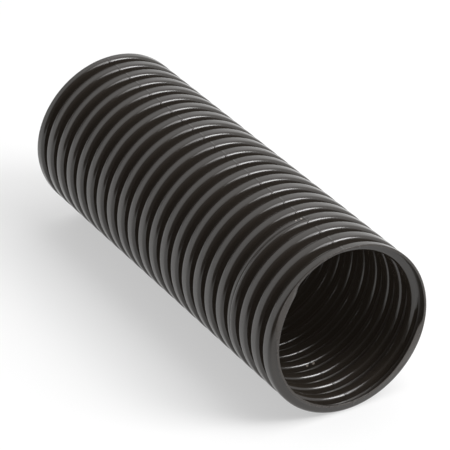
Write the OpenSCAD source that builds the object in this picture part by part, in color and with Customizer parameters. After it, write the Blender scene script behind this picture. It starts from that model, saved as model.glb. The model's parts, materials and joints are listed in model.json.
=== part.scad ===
// Corrugated conduit: a short length of flexible, blow-moulded ringed tube that cables run through.
// It lies on its side along Y, the front end facing -Y. Its ends are sawn a little off square, both alike:
// the tube looks the same after half a turn about Z. Each end's longer lip is below, so it lies without rolling.
// Origin: on the floor, under the middle of the length. +Z is up.

/* [Tube] */
// Outside diameter over the crests, which clips and connectors are sized by
outer_d = 54.5; // [50:0.5:60]
// Number of rings along the piece
rings = 22; // [8:1:44]
// Thickness of the wall, the same all along the wave
wall = 0.7; // [0.5:0.05:0.9]

/* [Corrugation] */
// Distance from one ring to the next
pitch = 6.8; // [6.4:0.1:8]
// Width of a crest where its sides would meet its top in sharp corners
crest_w = 4; // [3.6:0.1:4.2]
// How deep the valleys between the crests are, on the outside
valley_depth = 2.55; // [2.2:0.05:2.9]
// Lean of a ring's sides away from square to the axis, in degrees
flank_lean = 6; // [0:1:9]
// Radius of the outside corners of a crest
crest_r = 1.1; // [1.05:0.05:1.4]
// Radius of the outside corners at the foot of a valley
valley_r = 0.5; // [0.3:0.05:0.6]

/* [End cuts] */
// Distance from the middle of each end's saw cut to the centre of the crest next to it
cut_to_crest = 1.85; // [1:0.05:3]
// Tilt of the saw away from square, in degrees
cut_tilt = 2.7; // [0:0.1:5]
// Direction in which a cut goes deepest, in degrees from the top, clockwise for who faces that end
cut_turn = 28; // [-80:1:80]

/* [Hidden] */
outer_r = outer_d / 2;
valley_outer_r = outer_r - valley_depth;      // outside of the wall at the foot of a valley
inner_r = valley_outer_r - wall;              // clear bore, which the cables have
crest_inner_r = outer_r - wall;               // inside of the wall under a crest
front_crest_y = -(rings - 1) * pitch / 2;     // centre of the first crest
front_y = front_crest_y - cut_to_crest;       // middle of the front cut
spare_rings = 2;                              // the stock runs past each end by these before it is cut
ring_count = rings + 2 * spare_rings;
cut_size = 3 * outer_d;                       // larger than the tube in every direction
corner_steps = 5;                             // straight steps that a rounded corner is made of
// Width between the inside walls of a hollow crest, where they would meet its top in sharp corners
hollow_w = crest_w - 2 * wall * (1 / cos(flank_lean) - tan(flank_lean));

// Distance along the axis from the sharp corner of a ring's side to the centre of a fillet in it.
// The corner measures 90 degrees + the lean, at the crest and at the foot alike.
function fillet_shift(fillet) = fillet * tan((90 - flank_lean) / 2);

// Points of a rounded corner about [radius, along] = centre, from one angle to another
function corner(centre, fillet, from, to) = [
    for (i = [0 : corner_steps])
        let (a = from + (to - from) * i / corner_steps)
            centre + fillet * [cos(a), sin(a)]
];

// Half a ring in section as [radius, distance behind the crest's middle], from its crest to its foot.
// top and foot are the radii of crest and valley, w is the crest's sharp-cornered width.
function half_ring(top, foot, w, top_fillet, foot_fillet) =
    let (
        top_y = w / 2 - fillet_shift(top_fillet),
        foot_y = w / 2 + (top - foot) * tan(flank_lean) + fillet_shift(foot_fillet)
    )
    concat(
        corner([top - top_fillet, top_y], top_fillet, 0, 90 - flank_lean),
        corner([foot + foot_fillet, foot_y], foot_fillet, 270 - flank_lean, 180)
    );

// The front half of a ring is its rear half mirrored and taken from the foot up
function mirrored(half) = [for (i = [len(half) - 1 : -1 : 0]) [half[i][0], -half[i][1]]];

// The outline of a whole row of rings, from the front one to the rear one
function wave(half) = [
    for (k = [0 : ring_count - 1]) for (p = concat(mirrored(half), half)) p + [0, k * pitch]
];

function reversed(points) = [for (i = [len(points) - 1 : -1 : 0]) points[i]];

// The moulded wall turned about the tube's axis, with the first ring at y = 0
module stock() {
    outside = wave(half_ring(outer_r, valley_outer_r, crest_w, crest_r, valley_r));
    inside = wave(half_ring(crest_inner_r, inner_r, hollow_w, crest_r - wall, valley_r + wall));
    rotate([-90, 0, 0])
        rotate_extrude($fn = 128) polygon(concat(outside, reversed(inside)));
}

// What the slanting saw cut takes off the front end of the stock
module waste() {
    translate([0, front_y, 0])
        rotate([0, cut_turn, 0])
            rotate([-cut_tilt, 0, 0])
                translate([-cut_size / 2, -cut_size, -cut_size / 2])
                    cube(cut_size);
}

module conduit() {
    color([0.10, 0.09, 0.08])
    translate([0, 0, outer_r])
        difference() {
            translate([0, front_crest_y - spare_rings * pitch, 0]) stock();
            waste();
            rotate([0, 0, 180]) waste();
        }
}

conduit();
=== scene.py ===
# %% [markdown]
# # A corrugated conduit in black plastic
# Conduit like this is a hose of rings. It is extruded as a soft plain tube, and a chain of half moulds
# closes round it and blows it outwards, so that one thin wall waves in and out along the whole length.
# The rings let it bend, and claws in the fittings drop into the valleys between them.
# This lesson builds the wall from its rule, gives it the moulded plastic finish, and lights it softly.

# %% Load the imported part
import json
import math

import bpy
from mathutils import Euler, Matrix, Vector


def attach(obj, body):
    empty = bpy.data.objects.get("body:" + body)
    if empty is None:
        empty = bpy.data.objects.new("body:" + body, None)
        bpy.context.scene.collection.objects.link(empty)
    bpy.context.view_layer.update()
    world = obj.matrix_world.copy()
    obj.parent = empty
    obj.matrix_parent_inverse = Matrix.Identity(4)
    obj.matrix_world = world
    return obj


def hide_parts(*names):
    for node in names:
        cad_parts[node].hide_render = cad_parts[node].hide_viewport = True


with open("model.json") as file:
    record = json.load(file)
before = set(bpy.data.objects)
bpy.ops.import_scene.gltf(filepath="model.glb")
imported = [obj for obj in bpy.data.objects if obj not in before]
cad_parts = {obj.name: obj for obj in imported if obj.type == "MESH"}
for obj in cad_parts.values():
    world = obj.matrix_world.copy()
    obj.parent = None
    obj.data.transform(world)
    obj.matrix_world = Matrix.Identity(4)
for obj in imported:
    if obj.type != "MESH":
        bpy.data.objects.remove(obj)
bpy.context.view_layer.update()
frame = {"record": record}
scene = bpy.context.scene
scene.view_settings.view_transform = "Standard"
MM = 0.001

# %% [markdown]
# ## Sizes
# The outside size, the bore and the height of the axis come from the imported part, so that both models agree.
# What the wave looks like in between is a set of plain sizes, such as a maker's drawing would give.
# Every angle round the tube is counted from the top, towards the left as the front end is seen.

# %% Read the main sizes and name the rest
mounts = {mount["name"]: mount for mount in frame["record"]["mounts"]}
outer_radius = mounts["outside"]["dims"]["r_mm"] * MM
bore_radius = mounts["cable_way"]["dims"]["r_mm"] * MM
axis_height = mounts["outside"]["pos_m"][2]

PITCH = 6.8 * MM
RINGS = 22
WALL = 0.7 * MM
CREST_WIDTH = 4.0 * MM
FLANK_LEAN = math.radians(6)
CREST_CORNER = 1.1 * MM
VALLEY_CORNER = 0.5 * MM
CUT_TILT = math.radians(2.7)
CUT_TURN = math.radians(28)
CUT_TO_CREST = 1.85 * MM

front_crest_y = -(RINGS - 1) * PITCH / 2
cut_y = front_crest_y - CUT_TO_CREST
print("first crest at", round(front_crest_y / MM, 2), "mm, cut at", round(cut_y / MM, 2), "mm")

# %% [markdown]
# ## The camera
# It stands well back with a long lens, so that the rings at both ends look almost the same size.
# It looks into the sawn front end from above and from the left.

# %% Place the camera
CAMERA_AZIMUTH = math.radians(-30.03)
CAMERA_ELEVATION = math.radians(29.24)
CAMERA_DISTANCE = 938 * MM
AIM_OFFSET = Vector((0.9, 0.36, -0.7)) * MM

toward_camera = Vector((
    math.sin(CAMERA_AZIMUTH) * math.cos(CAMERA_ELEVATION),
    -math.cos(CAMERA_AZIMUTH) * math.cos(CAMERA_ELEVATION),
    math.sin(CAMERA_ELEVATION),
))
aim = Vector((0, 0, axis_height)) + AIM_OFFSET
camera_data = bpy.data.cameras.new("camera")
camera_data.sensor_width = 36
camera_data.lens = 242.8
camera_data.clip_start = 0.05
camera = bpy.data.objects.new("camera", camera_data)
scene.collection.objects.link(camera)
camera.location = aim + toward_camera * CAMERA_DISTANCE
camera.rotation_euler = (-toward_camera).to_track_quat("-Z", "Y").to_euler()
scene.camera = camera
print("camera at", [round(v, 3) for v in camera.location])

# %% [markdown]
# ## The wall as a rule
# A lathe turns a part from its section, and that is the plainest way to make a body of revolution.
# The section here is a long closed outline: out along the waves of the outside, and back inside.
# Drawing it by hand would take hundreds of points, so Geometry Nodes work it out. Each ring has four
# sharp corners, found from the point's number, and the Fillet Curve node rounds them as the mould does.
# A circle carries the section round, and a Boolean with a box makes the slanting saw cut.

# %% A helper that adds a node with its settings and links
def add_node(tree, kind, settings=None, inputs=None):
    """Adds one node. inputs maps a socket's name or number to a value, or to a socket to link."""
    node = tree.nodes.new(kind)
    for name, value in (settings or {}).items():
        setattr(node, name, value)
    for key, value in (inputs or {}).items():
        if isinstance(value, bpy.types.NodeSocket):
            tree.links.new(value, node.inputs[key])
        else:
            node.inputs[key].default_value = value
    return node


def operands(known, row):
    """The values of a row (name, operation, value ...) by input number. A text is an earlier result's name."""
    return {number: known[value] if isinstance(value, str) else value for number, value in enumerate(row[2:])}


# %% [markdown]
# The tree's inputs are the sizes of the wave, by name. Their identifiers are kept in a dictionary,
# because a modifier's values are set by identifier.

# %% Start the tree and its inputs
tree = bpy.data.node_groups.new("corrugated tube", "GeometryNodeTree")
SIZES = {
    "Outer Radius": outer_radius,
    "Bore Radius": bore_radius,
    "Pitch": PITCH,
    "Wall": WALL,
    "Crest Width": CREST_WIDTH,
    "Flank Lean": FLANK_LEAN,
    "Crest Corner": CREST_CORNER,
    "Valley Corner": VALLEY_CORNER,
    "First Crest": front_crest_y,
    "Axis Height": axis_height,
    "Cut Place": cut_y,
    "Cut Tilt": CUT_TILT,
    "Cut Turn": CUT_TURN,
}
COUNTS = {"Rings": RINGS + 2, "Sides": 112}
identifiers = {}
for name in SIZES:
    identifiers[name] = tree.interface.new_socket(name, in_out="INPUT", socket_type="NodeSocketFloat").identifier
for name in COUNTS:
    identifiers[name] = tree.interface.new_socket(name, in_out="INPUT", socket_type="NodeSocketInt").identifier
identifiers["Material"] = tree.interface.new_socket(
    "Material", in_out="INPUT", socket_type="NodeSocketMaterial"
).identifier
tree.interface.new_socket("Geometry", in_out="OUTPUT", socket_type="NodeSocketGeometry")
entry = add_node(tree, "NodeGroupInput")
known = {name: entry.outputs[name] for name in identifiers}
print(len(identifiers), "named inputs")

# %% [markdown]
# Eight corners make one ring of the wall: four outside and four inside. The outline's points are
# numbered from the front crest to the back one outside, and the second half returns inside.
# Each row of a table is one step of arithmetic: a name, what is done, and with which values.

# %% Number the corners of the section
CORNERS_PER_RING = 4
known["index"] = add_node(tree, "GeometryNodeInputIndex").outputs[0]
NUMBERING = (
    ("corners_out", "MULTIPLY", "Rings", CORNERS_PER_RING),
    ("corners_all", "MULTIPLY", "corners_out", 2),
    ("before_inside", "SUBTRACT", "corners_out", 0.5),
    ("is_inside", "GREATER_THAN", "index", "before_inside"),
    ("is_outside", "SUBTRACT", 1, "is_inside"),
    ("last_index", "SUBTRACT", "corners_all", 1),
    ("returning", "SUBTRACT", "last_index", "index"),
    ("place_outside", "MULTIPLY", "index", "is_outside"),
    ("place", "MULTIPLY_ADD", "returning", "is_inside", "place_outside"),
    ("corner", "FLOORED_MODULO", "place", CORNERS_PER_RING),
    ("rings_passed", "DIVIDE", "place", CORNERS_PER_RING),
    ("ring", "FLOOR", "rings_passed"),
    ("is_rear", "GREATER_THAN", "corner", 1.5),
    ("is_top", "COMPARE", "corner", 1.5, 0.75),
    ("is_foot", "SUBTRACT", 1, "is_top"),
)
for row in NUMBERING:
    known[row[0]] = add_node(tree, "ShaderNodeMath", {"operation": row[1]}, operands(known, row)).outputs[0]

# %% [markdown]
# A corner's distance from the axis is the crest's or the valley's. Its distance from the middle of
# the ring is half the crest's width, and a little more at the foot, because the sides lean.
# Inside, all four corners move in by the wall, measured square to each face.

# %% Work out where each corner is
# the first ring of the row lies one pitch in front of the first crest, so that the cut has stock to remove
CORNERS = (
    ("valley_radius", "ADD", "Bore Radius", "Wall"),
    ("depth", "SUBTRACT", "Outer Radius", "valley_radius"),
    ("lean_slope", "TANGENT", "Flank Lean"),
    ("lean_cosine", "COSINE", "Flank Lean"),
    ("lean_secant", "DIVIDE", 1, "lean_cosine"),
    ("wall_slope", "SUBTRACT", "lean_secant", "lean_slope"),
    ("wall_inside", "MULTIPLY", "Wall", "is_inside"),
    ("inside_run", "MULTIPLY", "wall_inside", "wall_slope"),
    ("lean_run", "MULTIPLY", "depth", "lean_slope"),
    ("foot_run", "MULTIPLY", "lean_run", "is_foot"),
    ("half_outside", "MULTIPLY_ADD", "Crest Width", 0.5, "foot_run"),
    ("half_width", "SUBTRACT", "half_outside", "inside_run"),
    ("face_radius", "MULTIPLY_ADD", "depth", "is_top", "valley_radius"),
    ("corner_radius", "SUBTRACT", "face_radius", "wall_inside"),
    ("side_sign", "MULTIPLY_ADD", "is_rear", 2, -1),
    ("rings_behind", "SUBTRACT", "ring", 1),
    ("ring_along", "MULTIPLY", "rings_behind", "Pitch"),
    ("along", "MULTIPLY_ADD", "half_width", "side_sign", "ring_along"),
)
for row in CORNERS:
    known[row[0]] = add_node(tree, "ShaderNodeMath", {"operation": row[1]}, operands(known, row)).outputs[0]

# %% [markdown]
# The fillet that rounds a corner on the outside is larger or smaller by the wall on the inside,
# because the two faces of the wall run parallel.

# %% Draw the outline and round its corners
# a large fillet gets more steps than a small one: about one for every 0.25 mm of its radius
FILLET_STEP, STEPS_MORE, STEPS_MOST = 0.25 * MM, 1.4, 5
FILLETS = (
    ("foot_sign", "MULTIPLY_ADD", "is_top", -2, 1),
    ("inside_change", "MULTIPLY", "wall_inside", "foot_sign"),
    ("crest_fillet", "MULTIPLY_ADD", "Crest Corner", "is_top", "inside_change"),
    ("fillet", "MULTIPLY_ADD", "Valley Corner", "is_foot", "crest_fillet"),
    ("steps_by_size", "DIVIDE", "fillet", FILLET_STEP),
    ("steps_wanted", "ADD", "steps_by_size", STEPS_MORE),
    ("steps", "MINIMUM", "steps_wanted", STEPS_MOST),
)
for row in FILLETS:
    known[row[0]] = add_node(tree, "ShaderNodeMath", {"operation": row[1]}, operands(known, row)).outputs[0]
points = add_node(tree, "GeometryNodeMeshLine", {"mode": "OFFSET"}, {"Count": known["corners_all"]})
outline = add_node(tree, "GeometryNodeMeshToCurve", None, {"Mesh": points.outputs[0]})
closed = add_node(tree, "GeometryNodeSetSplineCyclic", None, {"Geometry": outline.outputs[0], "Cyclic": True})
corner_at = add_node(tree, "ShaderNodeCombineXYZ", None, {"X": known["corner_radius"], "Y": known["along"]})
drawn = add_node(tree, "GeometryNodeSetPosition", None,
                 {"Geometry": closed.outputs[0], "Position": corner_at.outputs[0]})
rounded = add_node(tree, "GeometryNodeFilletCurve", {"mode": "POLY"},
                   {"Curve": drawn.outputs[0], "Count": known["steps"], "Radius": known["fillet"],
                    "Limit Radius": True})

# %% [markdown]
# A section is turned into a body by carrying it round a circle. Curve to Mesh keeps the section's
# size, so the circle has a radius of one metre, and the result is shrunk onto the axis afterwards:
# each point knows its own distance from the circle, and that is its true distance from the axis.

# %% Turn the section about the axis
CIRCLE = 1.0
path = add_node(tree, "GeometryNodeCurvePrimitiveCircle", {"mode": "RADIUS"},
                {"Resolution": known["Sides"], "Radius": CIRCLE})
swept = add_node(tree, "GeometryNodeCurveToMesh", None,
                 {"Curve": path.outputs[0], "Profile Curve": rounded.outputs[0]})
swept_at = add_node(tree, "ShaderNodeSeparateXYZ", None,
                    {"Vector": add_node(tree, "GeometryNodeInputPosition").outputs[0]})
for axis in "XYZ":
    known["swept_" + axis] = swept_at.outputs[axis]
TURNING = (
    ("swept_XX", "MULTIPLY", "swept_X", "swept_X"),
    ("reach_squared", "MULTIPLY_ADD", "swept_Y", "swept_Y", "swept_XX"),
    ("reach", "SQRT", "reach_squared"),
    ("radius", "SUBTRACT", "reach", CIRCLE),
    ("sideways", "DIVIDE", "swept_X", "reach"),
    ("upwards", "DIVIDE", "swept_Y", "reach"),
    ("wall_x", "MULTIPLY", "radius", "sideways"),
    ("wall_y", "MULTIPLY_ADD", "swept_Z", -1, "First Crest"),
    ("wall_z", "MULTIPLY_ADD", "radius", "upwards", "Axis Height"),
)
for row in TURNING:
    known[row[0]] = add_node(tree, "ShaderNodeMath", {"operation": row[1]}, operands(known, row)).outputs[0]
lying = add_node(tree, "ShaderNodeCombineXYZ", None,
                 {"X": known["wall_x"], "Y": known["wall_y"], "Z": known["wall_z"]})
stock = add_node(tree, "GeometryNodeSetPosition", None,
                 {"Geometry": swept.outputs[0], "Position": lying.outputs[0]})

# %% [markdown]
# ## The two cuts
# The stock is a little too long at both ends, as it is before a saw goes through it.
# A box is tilted and turned as the saw was. The other end's box is the same, after half a turn about Z.

# %% Cut the stock to length
BLOCK = 0.3
block = add_node(tree, "GeometryNodeMeshCube", None, {"Size": (BLOCK, BLOCK, BLOCK)})
beyond = add_node(tree, "GeometryNodeTransform", None,
                  {"Geometry": block.outputs[0], "Translation": (0, -BLOCK / 2, 0)})
cut = add_node(tree, "GeometryNodeMeshBoolean", {"operation": "DIFFERENCE", "solver": "MANIFOLD"},
               {"Mesh 1": stock.outputs[0]})
for row in (("saw_tilt", "MULTIPLY", "Cut Tilt", -1), ("back_place", "MULTIPLY", "Cut Place", -1)):
    known[row[0]] = add_node(tree, "ShaderNodeMath", {"operation": row[1]}, operands(known, row)).outputs[0]
for end_turn, end_place in ((0, "Cut Place"), (math.pi, "back_place")):
    saw_turn = add_node(tree, "ShaderNodeCombineXYZ", None,
                        {"X": known["saw_tilt"], "Y": known["Cut Turn"], "Z": end_turn})
    cut_place = add_node(tree, "ShaderNodeCombineXYZ", None,
                         {"Y": known[end_place], "Z": known["Axis Height"]})
    waste = add_node(tree, "GeometryNodeTransform", None,
                     {"Geometry": beyond.outputs[0], "Translation": cut_place.outputs[0],
                      "Rotation": saw_turn.outputs[0]})
    tree.links.new(waste.outputs[0], cut.inputs["Mesh 2"])

# %% Finish the tree
realized = add_node(tree, "GeometryNodeRealizeInstances", None, {"Geometry": cut.outputs[0]})
dressed = add_node(tree, "GeometryNodeSetMaterial", None,
                   {"Geometry": realized.outputs[0], "Material": known["Material"]})
add_node(tree, "NodeGroupOutput", None, {"Geometry": dressed.outputs[0]})
print("the tree has", len(tree.nodes), "nodes")

# %% [markdown]
# ## Black moulded plastic
# The real material is a polyamide coloured with carbon black. It leaves the mould glossy but not
# polished: highlights are bright and a little soft at their edges. Its refractive index is 1.53 to 1.6.
# The finish has its own sizes in millimetres: a fine grain from the mould, and slow ripples from cooling.
# Patterns are laid out in the object's own coordinates, so they stay put on the wall.

# %% Start the plastic and find each point's place on the tube
def linear(hex_colour):
    """An sRGB hex colour as the linear RGBA that shaders expect."""
    channels = [int(hex_colour[i:i + 2], 16) / 255 for i in (1, 3, 5)]
    return [c / 12.92 if c <= 0.04045 else ((c + 0.055) / 1.055) ** 2.4 for c in channels] + [1.0]


plastic = bpy.data.materials.new("black polyamide, moulded")
plastic.use_nodes = True
skin = plastic.node_tree
skin.nodes.clear()
spot_on_wall = add_node(skin, "ShaderNodeTexCoord").outputs["Object"]
parts = add_node(skin, "ShaderNodeSeparateXYZ", None, {"Vector": spot_on_wall})
look = {
    "x": parts.outputs["X"], "y": parts.outputs["Y"], "z": parts.outputs["Z"],
    "sawn": add_node(skin, "ShaderNodeAttribute", {"attribute_name": "sawn"}).outputs["Fac"],
    "hollow": add_node(skin, "ShaderNodeAttribute", {"attribute_name": "hollow"}).outputs["Fac"],
}
NOISES = (
    # name, size of a grain in mm, detail
    ("grain", 0.8, 2.0),
    ("ripple", 7.0, 1.0),
    ("bloom", 4.0, 3.0),
)
for name, grain_mm, detail in NOISES:
    look[name] = add_node(skin, "ShaderNodeTexNoise", None,
                          {"Vector": spot_on_wall, "Scale": 1 / (grain_mm * MM), "Detail": detail}).outputs[0]
# saw marks run across the cut face, so their noise is drawn out along X
strokes = add_node(skin, "ShaderNodeMapping", None, {"Vector": spot_on_wall, "Scale": (0.06, 1.0, 1.0)})
look["stroke"] = add_node(skin, "ShaderNodeTexNoise", None,
                          {"Vector": strokes.outputs[0], "Scale": 1 / (0.5 * MM), "Detail": 2.0}).outputs[0]

# %% [markdown]
# The two half moulds leave a parting line along the top and another below, where highlights break.
# The fourth ring was pinched in its mould: a shallow groove runs along its crest, for a third of a turn.
# The tables are read as before, and the heights in the last one are in millimetres.

# %% Work out the seams, the pinched ring and the relief
SEAM_ANGLE = math.radians(4)
PINCHED_CREST_Y = front_crest_y + 3 * PITCH - 0.15 * MM
STEPS = (
    ("up", "SUBTRACT", "z", axis_height),
    ("leftward", "MULTIPLY", "x", -1),
    ("xx", "MULTIPLY", "x", "x"),
    ("radius_squared", "MULTIPLY_ADD", "up", "up", "xx"),
    ("radius", "SQRT", "radius_squared"),
    ("angle", "ARCTAN2", "leftward", "up"),
    ("from_seam", "SUBTRACT", "angle", SEAM_ANGLE),
    ("seam_sine", "SINE", "from_seam"),
    ("seam_side", "ABSOLUTE", "seam_sine"),
    ("seam_arc", "MULTIPLY", "seam_side", "radius"),
    ("from_pinch", "SUBTRACT", "y", PINCHED_CREST_Y),
    ("pinch_distance", "ABSOLUTE", "from_pinch"),
)
RAMPS = (
    # name, of what, from, to: 1 at the first value and 0 from the second on
    ("seam", "seam_arc", 0.05 * MM, 0.4 * MM),
    ("pinch_line", "pinch_distance", 0.05 * MM, 0.42 * MM),
    ("pinch_start", "angle", math.radians(6), math.radians(-2)),
    ("pinch_end", "angle", math.radians(88), math.radians(104)),
)
RELIEF = (
    ("pinch_span", "MULTIPLY", "pinch_start", "pinch_end"),
    ("pinch", "MULTIPLY", "pinch_line", "pinch_span"),
    ("grain_mm", "MULTIPLY", "grain", 0.0035),
    ("ripple_mm", "MULTIPLY_ADD", "ripple", 0.035, "grain_mm"),
    ("seam_mm", "MULTIPLY_ADD", "seam", 0.07, "ripple_mm"),
    ("pinch_mm", "MULTIPLY_ADD", "pinch", -0.12, "seam_mm"),
    ("stroke_mm", "MULTIPLY", "stroke", 0.03),
    ("height_mm", "MULTIPLY_ADD", "stroke_mm", "sawn", "pinch_mm"),
    ("bloom_rough", "MULTIPLY_ADD", "bloom", 0.10, 0.12),
    ("hollow_rough", "MULTIPLY_ADD", "hollow", 0.30, "bloom_rough"),
    ("roughness", "MULTIPLY_ADD", "sawn", 0.10, "hollow_rough"),
)


for row in STEPS:
    look[row[0]] = add_node(skin, "ShaderNodeMath", {"operation": row[1]}, operands(look, row)).outputs[0]
for name, source, full, none in RAMPS:
    look[name] = add_node(skin, "ShaderNodeMapRange", {"interpolation_type": "SMOOTHSTEP"},
                          {"Value": look[source], "From Min": full, "From Max": none,
                           "To Min": 1.0, "To Max": 0.0}).outputs[0]
for row in RELIEF:
    look[row[0]] = add_node(skin, "ShaderNodeMath", {"operation": row[1]}, operands(look, row)).outputs[0]

# %% [markdown]
# Five small pale spots are painted on this piece: two beside the seam of the pinched ring, two inside the mouth
# below, and one far back on top. They are painted glints: bright points of reflected light painted into the
# colour as pale plastic.

# %% Place the painted glints
MARKS = (
    # distance behind the first crest in mm, degrees from the top, distance from the axis in mm, size in mm
    (20.9, 6.0, 27.2, 0.40),
    (21.1, 9.5, 27.2, 0.32),
    (21.8, 181.5, 24.9, 0.60),
    (21.8, 186.5, 24.9, 0.60),
    (126.7, 31.8, 27.2, 0.40),
)
# the mask of the pale spots, which are painted glints
look["scraped"] = add_node(skin, "ShaderNodeValue").outputs[0]
look["scraped"].default_value = 0.0
for behind_mm, degrees, radius_mm, size_mm in MARKS:
    turn = math.radians(degrees)
    place_of_mark = (-math.sin(turn) * radius_mm * MM, front_crest_y + behind_mm * MM,
                     axis_height + math.cos(turn) * radius_mm * MM)
    away = add_node(skin, "ShaderNodeVectorMath", {"operation": "DISTANCE"},
                    {0: spot_on_wall, 1: place_of_mark})
    mark = add_node(skin, "ShaderNodeMapRange", {"interpolation_type": "SMOOTHSTEP"},
                    {"Value": away.outputs["Value"], "From Min": 0.4 * size_mm * MM, "From Max": size_mm * MM,
                     "To Min": 1.0, "To Max": 0.0})
    look["scraped"] = add_node(skin, "ShaderNodeMath", {"operation": "MAXIMUM"},
                               {0: look["scraped"], 1: mark.outputs[0]}).outputs[0]

# %% [markdown]
# A saw leaves a matt face that is a shade paler, and its edges aren't knife sharp: the Bevel node
# turns the normal over the last quarter of a millimetre, so that an edge catches the light.

# %% Join the finish
moulded = linear("#24201c")
sawn_face = linear("#302b27")
# the pale tone of the painted glints: a highlight painted into the colour
scraped_spot = linear("#9a9289")
tone = add_node(skin, "ShaderNodeMix", {"data_type": "RGBA"}, {0: look["sawn"], 6: moulded, 7: sawn_face})
colour = add_node(skin, "ShaderNodeMix", {"data_type": "RGBA"},
                  {0: look["scraped"], 6: tone.outputs[2], 7: scraped_spot})
edge = add_node(skin, "ShaderNodeBevel", {"samples": 6}, {"Radius": 0.25 * MM})
relief = add_node(skin, "ShaderNodeBump", None,
                  {"Height": look["height_mm"], "Distance": MM, "Strength": 1.0, "Normal": edge.outputs[0]})
# The faint emission makes the whole wall glow a little. It is painted light that lifts the darkest shade of the
# black, and no plastic does this.
shader = add_node(skin, "ShaderNodeBsdfPrincipled", None,
                  {"Base Color": colour.outputs[2], "Roughness": look["roughness"], "IOR": 1.6,
                   "Emission Color": linear("#1c1814"), "Emission Strength": 0.5,
                   "Normal": relief.outputs[0]})
add_node(skin, "ShaderNodeOutputMaterial", None, {"Surface": shader.outputs[0]})
print("the plastic has", len(skin.nodes), "nodes")

# %% [markdown]
# The modifier is given its values by identifier, and the result is kept as a plain mesh, in place of the
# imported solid. Every face then learns two facts that the finish asks for: whether the saw made it, and
# whether it is inside a hollow crest, where the plastic never touched the mould and is duller.

# %% Build the conduit
holder = bpy.data.objects.new("conduit_rule", bpy.data.meshes.new("conduit_rule"))
scene.collection.objects.link(holder)
modifier = holder.modifiers.new("corrugated tube", "NODES")
modifier.node_group = tree
for name, value in {**SIZES, **COUNTS}.items():
    modifier[identifiers[name]] = value
modifier[identifiers["Material"]] = plastic
evaluated = holder.evaluated_get(bpy.context.evaluated_depsgraph_get())
mesh = bpy.data.meshes.new_from_object(evaluated)
bpy.data.objects.remove(holder)
mesh.name = "conduit_wall"
conduit = bpy.data.objects.new("conduit_wall", mesh)
scene.collection.objects.link(conduit)
mesh.shade_smooth()
mesh.set_sharp_from_angle(angle=math.radians(35))

# %% Tell the sawn faces and those in the hollows
saw_axis = Vector((0, -1, 0))
saw_axis.rotate(Euler((-CUT_TILT, CUT_TURN, 0)))
SAWN_MATCH, INWARD = 0.9995, -0.15      # cosines: how nearly a face lies in the cut, and how far it faces inward
HOLLOW_FROM = bore_radius + 1.0 * MM
faces_sawn, faces_hollow = [], []
for face in mesh.polygons:
    outward = Vector((face.center.x, 0, face.center.z - axis_height))
    in_cut = abs(face.center.y) > -front_crest_y and abs(face.normal.dot(saw_axis)) > SAWN_MATCH
    in_hollow = outward.length > HOLLOW_FROM and face.normal.dot(outward.normalized()) < INWARD
    faces_sawn.append(float(in_cut))
    faces_hollow.append(float(in_hollow))
for name, values in (("sawn", faces_sawn), ("hollow", faces_hollow)):
    mesh.attributes.new(name, "FLOAT", "FACE").data.foreach_set("value", values)
print("sawn faces:", int(sum(faces_sawn)), "faces in the hollows:", int(sum(faces_hollow)))
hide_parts("conduit")
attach(conduit, "root")
print("wall:", len(mesh.vertices), "points,", sum(len(p.vertices) - 2 for p in mesh.polygons), "triangles")

# %% [markdown]
# ## The floor
# A product table is a sheet of pale paper. It takes the conduit's soft shadow and runs to white further
# off. To the camera and in the plastic's gloss the paper also glows a little, as an overlit sheet does.
# The paper ends in front on the left, and what the plastic mirrors beyond its edge is the dark room.

# %% Lay the floor
FLOOR = 3.0
FLOOR_GLOW = 0.5
FRONT_LEFT = Vector((-0.46, -0.89, 0))
PAPER_FADES, PAPER_ENDS, PAPER_LEAST = 0.08, 0.24, 0.05
floor_mesh = bpy.data.meshes.new("floor")
floor_mesh.from_pydata([(-FLOOR, -FLOOR, 0), (FLOOR, -FLOOR, 0), (FLOOR, FLOOR, 0), (-FLOOR, FLOOR, 0)],
                       [], [(0, 1, 2, 3)])
floor = bpy.data.objects.new("floor", floor_mesh)
scene.collection.objects.link(floor)
paint = bpy.data.materials.new("floor paper")
paint.use_nodes = True
sheet = paint.node_tree
sheet.nodes.clear()
rays = add_node(sheet, "ShaderNodeLightPath")
spot = add_node(sheet, "ShaderNodeTexCoord").outputs["Object"]
forward = add_node(sheet, "ShaderNodeVectorMath", {"operation": "DOT_PRODUCT"}, {0: spot, 1: FRONT_LEFT})
paper = add_node(sheet, "ShaderNodeMapRange", {"interpolation_type": "SMOOTHSTEP"},
                 {"Value": forward.outputs["Value"], "From Min": PAPER_FADES, "From Max": PAPER_ENDS,
                  "To Min": 1.0, "To Max": PAPER_LEAST})
shown = add_node(sheet, "ShaderNodeMath", {"operation": "MAXIMUM"},
                 {0: rays.outputs["Is Camera Ray"], 1: paper.outputs[0]})
white = add_node(sheet, "ShaderNodeMix", {"data_type": "RGBA"},
                 {0: shown.outputs[0], 6: (0, 0, 0, 1), 7: (0.85, 0.85, 0.85, 1)})
matte = add_node(sheet, "ShaderNodeBsdfDiffuse", None, {"Color": white.outputs[2]})
glow = add_node(sheet, "ShaderNodeEmission", None, {"Color": (1, 1, 1, 1), "Strength": shown.outputs[0]})
looked_at = add_node(sheet, "ShaderNodeMath", {"operation": "MAXIMUM"},
                     {0: rays.outputs["Is Camera Ray"], 1: rays.outputs["Is Glossy Ray"]})
share = add_node(sheet, "ShaderNodeMath", {"operation": "MULTIPLY"}, {0: looked_at.outputs[0], 1: FLOOR_GLOW})
surface = add_node(sheet, "ShaderNodeMixShader", None,
                   {0: share.outputs[0], 1: matte.outputs[0], 2: glow.outputs[0]})
add_node(sheet, "ShaderNodeOutputMaterial", None, {"Surface": surface.outputs[0]})
floor_mesh.materials.append(paint)

# %% [markdown]
# ## The room
# Black gloss shows its surroundings more than its own colour, so the room matters. Pale walls stand
# behind and at the sides. The side the camera stands on is dark, and so are a doorway behind the tube
# and the room straight ahead of its mouth. Each dark place is a direction, and it fades in by a cosine.

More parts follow.
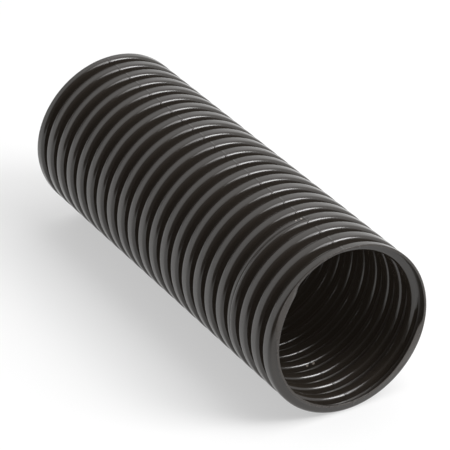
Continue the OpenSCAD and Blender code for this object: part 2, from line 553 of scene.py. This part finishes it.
# %% Build the room
world = bpy.data.worlds.new("studio")
scene.world = world
world.use_nodes = True
air = world.node_tree
air.nodes.clear()
PALE_WALLS = 1.0
DARK_PLACES = (
    # direction, cosine where it starts, cosine from which it is full, brightness there
    (Vector((-0.66, -0.66, 0.36)).normalized(), 0.1, 0.6, 0.1),
    (Vector((0, 1, 0)), 0.80, 0.90, 0.03),
    (Vector((0.05, -1, 0.1)), 0.72, 0.90, 0.06),
)
ray_way = add_node(air, "ShaderNodeTexCoord").outputs["Generated"]
room = PALE_WALLS
for direction, starts, full, brightness in DARK_PLACES:
    nearness = add_node(air, "ShaderNodeVectorMath", {"operation": "DOT_PRODUCT"}, {0: ray_way, 1: direction})
    dark = add_node(air, "ShaderNodeMapRange", {"interpolation_type": "SMOOTHSTEP"},
                    {"Value": nearness.outputs["Value"], "From Min": starts, "From Max": full,
                     "To Min": 1.0, "To Max": brightness})
    room = add_node(air, "ShaderNodeMath", {"operation": "MULTIPLY"}, {0: room, 1: dark.outputs[0]}).outputs[0]
seen = add_node(air, "ShaderNodeLightPath").outputs["Is Camera Ray"]
level = add_node(air, "ShaderNodeMix", {"data_type": "FLOAT"}, {0: seen, 2: room, 3: PALE_WALLS})
glow = add_node(air, "ShaderNodeBackground", None, {"Color": (1, 1, 1, 1), "Strength": level.outputs[0]})
add_node(air, "ShaderNodeOutputWorld", None, {"Surface": glow.outputs[0]})

# %% [markdown]
# ## The lamps
# One tall soft box hangs in front on the right and overhead, and gives each crest its streak. A smaller,
# brighter one in its middle stands for the bulb behind the cloth. A lamp's power follows from its radiance.

# %% Hang the lamps
def soft_box(name, azimuth, elevation, distance, width, height, radiance):
    """A rectangular lamp that faces the conduit. Azimuth 0 stands in front, and grows to the right."""
    lamp = bpy.data.lights.new(name, "AREA")
    lamp.shape = "RECTANGLE"
    lamp.size, lamp.size_y, lamp.energy = width, height, radiance * math.pi * width * height
    holder = bpy.data.objects.new(name, lamp)
    scene.collection.objects.link(holder)
    a, e = math.radians(azimuth), math.radians(elevation)
    away = Vector((math.sin(a) * math.cos(e), -math.cos(a) * math.cos(e), math.sin(e)))
    holder.location = away * distance + Vector((0, 0, axis_height))
    holder.rotation_euler = away.to_track_quat("Z", "Y").to_euler()
    return holder


# name, azimuth and elevation in degrees, then distance, width and height in metres, and radiance
soft_box("key", 36, 56, 1.5, 0.8, 1.9, 3.7)
soft_box("key core", 41, 40, 1.45, 0.58, 0.5, 10.5)
